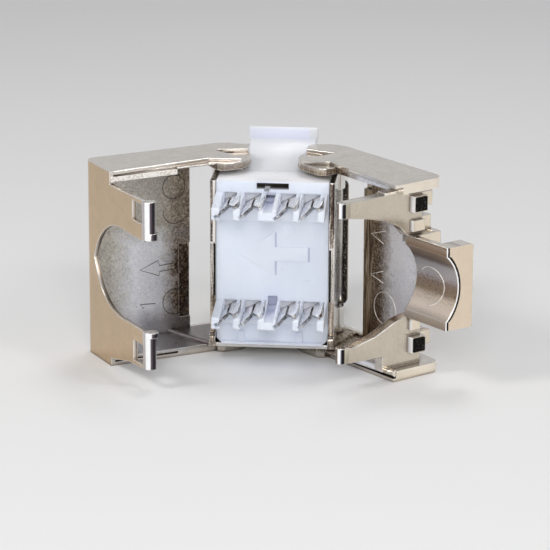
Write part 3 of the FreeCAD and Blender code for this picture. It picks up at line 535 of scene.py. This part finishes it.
M_SHELL = plated_shell("plated_shell")
M_LEFT = wing_plate("plated_left_wing", "L")
M_RIGHT = wing_plate("plated_right_wing", "R")
M_PIN = bright("pin_steel", (0.86, 0.85, 0.83), (0.70, 0.69, 0.67), 0.1)
M_BLOCK = plastic("white_block", (0.83, 0.88, 1.0), (0.79, 0.845, 0.99), 0.32, 0.45, zones=block_zones)
M_LATCH = plastic("white_latch", (0.80, 0.81, 0.85), (0.76, 0.775, 0.82), 0.34, 0.45, zones=latch_zones)
M_FORK = fork_metal("tinned_bronze")
M_GOLD = bright("gold_contact", (0.95, 0.72, 0.32), (0.80, 0.55, 0.22), 0.18)
M_INSERT = plastic("dark_insert", (0.030, 0.030, 0.034), (0.018, 0.018, 0.020), 0.42, 0.0, 0.8)
M_SPRING = bright("spring_steel", (0.78, 0.77, 0.74), (0.62, 0.60, 0.57), 0.16)
def speckled_black(name):
    k = Mat(name)
    k.link(k.ramp(k.noise(5200.0, 3.0, 0.6), (0.52, (0.002, 0.002, 0.002)), (0.62, (0.02, 0.016, 0.012)), (0.72, (0.16, 0.14, 0.11))), k.bsdf.inputs["Base Color"])
    k.bsdf.inputs["Roughness"].default_value = 0.6
    k.bsdf.inputs["Specular IOR Level"].default_value = 0.1
    k.link(k.bump(k.noise(3000.0, 3.0), 0.00003, 0.6), k.bsdf.inputs["Normal"])
    return k


def line_mat(name, col, metallic, rough):
    k = Mat(name)
    k.link(shade3(k, k.noise(2600.0, 3.0), col, 0.25), k.bsdf.inputs["Base Color"])
    k.bsdf.inputs["Metallic"].default_value = metallic
    k.bsdf.inputs["Roughness"].default_value = rough
    k.link(k.bump(k.noise(3000.0, 2.0), 0.00001, 0.5), k.bsdf.inputs["Normal"])
    return k


M_HOLE_SHADE = speckled_black("painted_recess_shade")
M_LINE_DARK = line_mat("cast_line_dark", (0.085, 0.070, 0.060), 0.6, 0.5)
M_LINE_PALE = line_mat("cast_line_pale", (0.90, 0.84, 0.78), 0.35, 0.4)


def board_mat():
    k = Mat("circuit_board")
    b = k.bsdf
    weave = k.noise(1800.0, 2.0)
    k.link(k.ramp(weave, (0.40, (0.012, 0.085, 0.040)), (0.6, (0.020, 0.125, 0.060))), b.inputs["Base Color"])
    b.inputs["Roughness"].default_value = 0.3
    k.link(k.bump(weave, 0.00001, 0.4), b.inputs["Normal"])
    return k


M_BOARD = board_mat()

PINS = ("hinge_pin_left_top", "hinge_pin_left_bottom", "hinge_pin_right_top", "hinge_pin_right_bottom")
LOOK = {"body_shell": M_SHELL, "left_wing": M_LEFT, "right_wing": M_RIGHT, "terminal_block": M_BLOCK,
        "keystone_latch": M_LATCH, "circuit_board": M_BOARD, "contact_insert": M_INSERT,
        "shield_spring_left": M_SPRING, "shield_spring_right": M_SPRING}
for n in PINS:
    LOOK[n] = M_PIN
for i in range(1, 9):
    LOOK["terminal_%d" % i] = M_FORK
    LOOK["port_contact_%d" % i] = M_GOLD
BEVEL = {"terminal_block": 0.07, "keystone_latch": 0.14, "circuit_board": 0.04, "contact_insert": 0.05}

SHADER_ROUNDED = ("body_shell", "left_wing", "right_wing")
for name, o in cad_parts.items():
    o.data.materials.clear()
    o.data.materials.append(LOOK[name].m)
    w = o.modifiers.new("weld", "WELD")
    w.merge_threshold = 1e-6
    if name in SHADER_ROUNDED:
        es = o.modifiers.new("split", "EDGE_SPLIT")
        es.split_angle = math.radians(32)
    else:
        bv = o.modifiers.new("round", "BEVEL")
        bv.width = BEVEL.get(name, 0.03) * MM
        bv.segments = 3
        bv.limit_method = "ANGLE"
        bv.angle_limit = math.radians(30)
        bv.use_clamp_overlap = True
        bv.harden_normals = True
    for p in o.data.polygons:
        p.use_smooth = True


# ------------------------------------------------------------------ small cast details
def strip_mesh(name, paths, place, width, height, mat, body, closed=False, steps=3):
    """Raised rounded strips that follow 2-D paths (u, v) laid on a surface by place(u, v, h)."""
    bm = bmesh.new()
    for path in paths:
        n = len(path)
        rings = []
        for i, (u, v) in enumerate(path):
            if closed:
                a, c = path[i - 1], path[(i + 1) % n]
            else:
                a, c = path[max(i - 1, 0)], path[min(i + 1, n - 1)]
            dx, dy = c[0] - a[0], c[1] - a[1]
            ln = math.hypot(dx, dy) or 1.0
            nx, ny = -dy / ln, dx / ln
            ring = []
            for j in range(steps * 2 + 1):
                f = j / (steps * 2.0)
                off = (f - 0.5) * width
                h = height * math.sin(math.pi * f) ** 0.8 if 0 < f < 1 else -0.05
                ring.append(bm.verts.new(place(u + nx * off, v + ny * off, h)))
            rings.append(ring)
        pairs = list(zip(rings, rings[1:]))
        if closed:
            pairs.append((rings[-1], rings[0]))
        for r0, r1 in pairs:
            for j in range(len(r0) - 1):
                bm.faces.new((r0[j], r0[j + 1], r1[j + 1], r1[j]))
            bm.faces.new((r0[-1], r0[0], r1[0], r1[-1]))
        if not closed:
            bm.faces.new(rings[0])
            bm.faces.new(list(reversed(rings[-1])))
    bmesh.ops.recalc_face_normals(bm, faces=bm.faces)
    me = bpy.data.meshes.new(name)
    bm.to_mesh(me)
    bm.free()
    o = bpy.data.objects.new(name, me)
    bpy.context.collection.objects.link(o)
    for p in me.polygons:
        p.use_smooth = True
    me.materials.append(mat.m)
    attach(o, body)
    return o


def circle(cu, cv, r, n=40, a0=0.0, a1=360.0):
    full = abs(a1 - a0) >= 359.9
    k = n if full else n + 1
    return [(cu + r * math.cos(math.radians(a0 + (a1 - a0) * i / n)), cv + r * math.sin(math.radians(a0 + (a1 - a0) * i / n)))
            for i in range(k)]


def on_side(side, s0=0.9):
    return lambda t, z, h: wing(side, s0 + h, t, z)


LB, RB, JB = "left_wing_body", "right_wing_body", "jack_body"
strip_mesh("left_ejector_rings", [circle(10.65, -6.65, 1.5), circle(10.6, 6.95, 1.4)], on_side("L"), 0.11, 0.04,
           M_LINE_DARK, LB, closed=True)
strip_mesh("left_ejector_arc", [circle(10.75, 4.1, 1.5, a0=170.0, a1=320.0)], on_side("L"), 0.10, 0.035, M_LINE_DARK, LB)
strip_mesh("left_arrow", [[(11.0, -2.05), (8.75, -2.15), (8.6, -1.5), (6.3, -2.4), (8.7, -3.35), (8.75, -2.85), (11.0, -2.75)]],
           on_side("L"), 0.11, 0.04, M_LINE_DARK, LB)
strip_mesh("left_short_arrow", [[(8.2, -6.6), (6.3, -6.5), (6.75, -7.0)]], on_side("L"), 0.11, 0.04, M_LINE_DARK, LB)
strip_mesh("right_ejector_rings", [circle(8.7, -5.9, 1.9)], on_side("R"), 0.12, 0.05, M_LINE_PALE, RB, closed=True)
strip_mesh("right_chevrons", [[(8.6, 3.25), (11.2, 2.4), (9.05, 1.64)], [(9.05, -1.59), (11.3, -2.39), (8.95, -3.0)]],
           on_side("R"), 0.14, 0.06, M_LINE_PALE, RB)


def on_channel(t, v, h):
    """Inner face of the right wing's rounded channel; v runs along the arc from its middle line, in mm."""
    th = v / 4.931
    return wing("R", 7.371 - (4.931 - h) * math.cos(th), t, 0.19 + (4.931 - h) * math.sin(th))


strip_mesh("right_channel_ring", [circle(-1.12, -0.82, 2.2, a0=45.0, a1=262.0)], on_channel, 0.15, 0.05, M_LINE_PALE, RB)


def plate(name, pts, thick, mat, body, bevel=0.02):
    """Thin plate from four or more corner points in frame metres, grown backwards by thick."""
    bm = bmesh.new()
    a = [bm.verts.new(p) for p in pts]
    n = (pts[1] - pts[0]).cross(pts[2] - pts[1]).normalized()
    b = [bm.verts.new(p - n * thick * MM) for p in pts]
    bm.faces.new(a)
    bm.faces.new(list(reversed(b)))
    for i in range(len(a)):
        j = (i + 1) % len(a)
        bm.faces.new((a[i], b[i], b[j], a[j]))
    bmesh.ops.recalc_face_normals(bm, faces=bm.faces)
    me = bpy.data.meshes.new(name)
    bm.to_mesh(me)
    bm.free()
    o = bpy.data.objects.new(name, me)
    bpy.context.collection.objects.link(o)
    me.materials.append(mat.m)
    bv = o.modifiers.new("round", "BEVEL")
    bv.width = bevel * MM
    bv.segments = 2
    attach(o, body)
    return o


# dark plates in the two catch holes: painted shade standing in for the shadow inside them
for nm, s1, z0, z1 in (("catch_hole_shade_top", 3.68, 7.73, 9.27), ("catch_hole_shade_bottom", 3.72, -8.45, -6.90)):
    plate(nm, [wing("R", 2.13, 0.40, z0), wing("R", s1, 0.40, z0), wing("R", s1, 0.40, z1), wing("R", 2.13, 0.40, z1)],
          0.25, M_HOLE_SHADE, RB)

# ------------------------------------------------------------------ stage
floor_z = CAD_BOX[0].z
bpy.ops.mesh.primitive_plane_add(size=6.0, location=(0, 0, floor_z))
floor = bpy.context.object
floor.name = "floor"
fm = Mat("floor_paper")
fn = fm.noise(6.0, 2.0)
fm.link(fm.ramp(fn, (0.3, (0.86, 0.855, 0.85)), (0.7, (0.88, 0.875, 0.87))), fm.bsdf.inputs["Base Color"])
fm.bsdf.inputs["Roughness"].default_value = 0.85
floor.data.materials.append(fm.m)

world = bpy.data.worlds.new("studio")
bpy.context.scene.world = world
world.use_nodes = True
wt = world.node_tree
wt.nodes.clear()
wo = wt.nodes.new("ShaderNodeOutputWorld")
bg = wt.nodes.new("ShaderNodeBackground")
tc = wt.nodes.new("ShaderNodeTexCoord")
sp = wt.nodes.new("ShaderNodeSeparateXYZ")
cr = wt.nodes.new("ShaderNodeValToRGB")
wt.links.new(tc.outputs["Generated"], sp.inputs[0])
mr = wt.nodes.new("ShaderNodeMapRange")
mr.inputs["From Min"].default_value = -0.1
mr.inputs["From Max"].default_value = 1.0
wt.links.new(sp.outputs[2], mr.inputs["Value"])
wt.links.new(mr.outputs[0], cr.inputs["Fac"])
e = cr.color_ramp.elements
e[0].position, e[0].color = 0.0, (0.91, 0.92, 0.94, 1)
e[1].position, e[1].color = 1.0, (0.45, 0.45, 0.46, 1)
m = e.new(0.36)
m.color = (0.87, 0.88, 0.90, 1)
m = e.new(0.55)
m.color = (0.50, 0.50, 0.51, 1)
wt.links.new(cr.outputs[0], bg.inputs["Color"])
bg.inputs["Strength"].default_value = 0.72
wt.links.new(bg.outputs[0], wo.inputs[0])


def area(name, loc, target, size, power, col=(1, 1, 1), size_y=None):
    l = bpy.data.lights.new(name, "AREA")
    l.energy = power
    l.color = col
    l.size = size
    if size_y:
        l.shape = "RECTANGLE"
        l.size_y = size_y
    o = bpy.data.objects.new(name, l)
    bpy.context.collection.objects.link(o)
    o.location = loc
    o.rotation_mode = "QUATERNION"
    o.rotation_quaternion = (Vector(target) - Vector(loc)).to_track_quat("-Z", "Y")
    return o


mid = P(0, 4, 0)
area("front", mid + Vector((0.03, -0.30, 0.15)), mid, 0.12, 0.345, (0.96, 0.98, 1.0))
area("key", mid + Vector((-0.17, -0.10, 0.20)), mid, 0.07, 0.18, (1.0, 0.985, 0.96))
area("side", mid + Vector((0.20, -0.08, 0.15)), mid, 0.06, 0.10, (1.0, 0.99, 0.97))
area("top", mid + Vector((0.02, 0.10, 0.25)), mid, 0.08, 0.12)


# ------------------------------------------------------------------ camera at the photo's angle
AZ, EL, ROLL, DIST, FPX, CX, CZ = 5.12, 16.3, 0.24, 354.5, 3160.0, 0.315, -1.287
a, el, rl = math.radians(AZ), math.radians(EL), math.radians(ROLL)
back = Vector((math.sin(a) * math.cos(el), -math.cos(a) * math.cos(el), math.sin(el)))
fwd = -back
right = fwd.cross(Vector((0, 0, 1))).normalized()
up = right.cross(fwd).normalized()
right, up = (right * math.cos(rl) + up * math.sin(rl)), (up * math.cos(rl) - right * math.sin(rl))
loc = (back * DIST + right * CX + up * CZ - OFF) * MM
cam = bpy.data.cameras.new("camera")
cam_o = bpy.data.objects.new("camera", cam)
bpy.context.collection.objects.link(cam_o)
cam.sensor_width = 36.0
cam.lens = FPX / 550.0 * 36.0
cam.clip_start, cam.clip_end = 0.01, 10.0
cam_o.matrix_world = Matrix(((right.x, up.x, back.x, loc.x), (right.y, up.y, back.y, loc.y), (right.z, up.z, back.z, loc.z), (0, 0, 0, 1)))
bpy.context.scene.camera = cam_o
bpy.context.scene.view_settings.view_transform = "Standard"
bpy.context.scene.view_settings.look = "None"
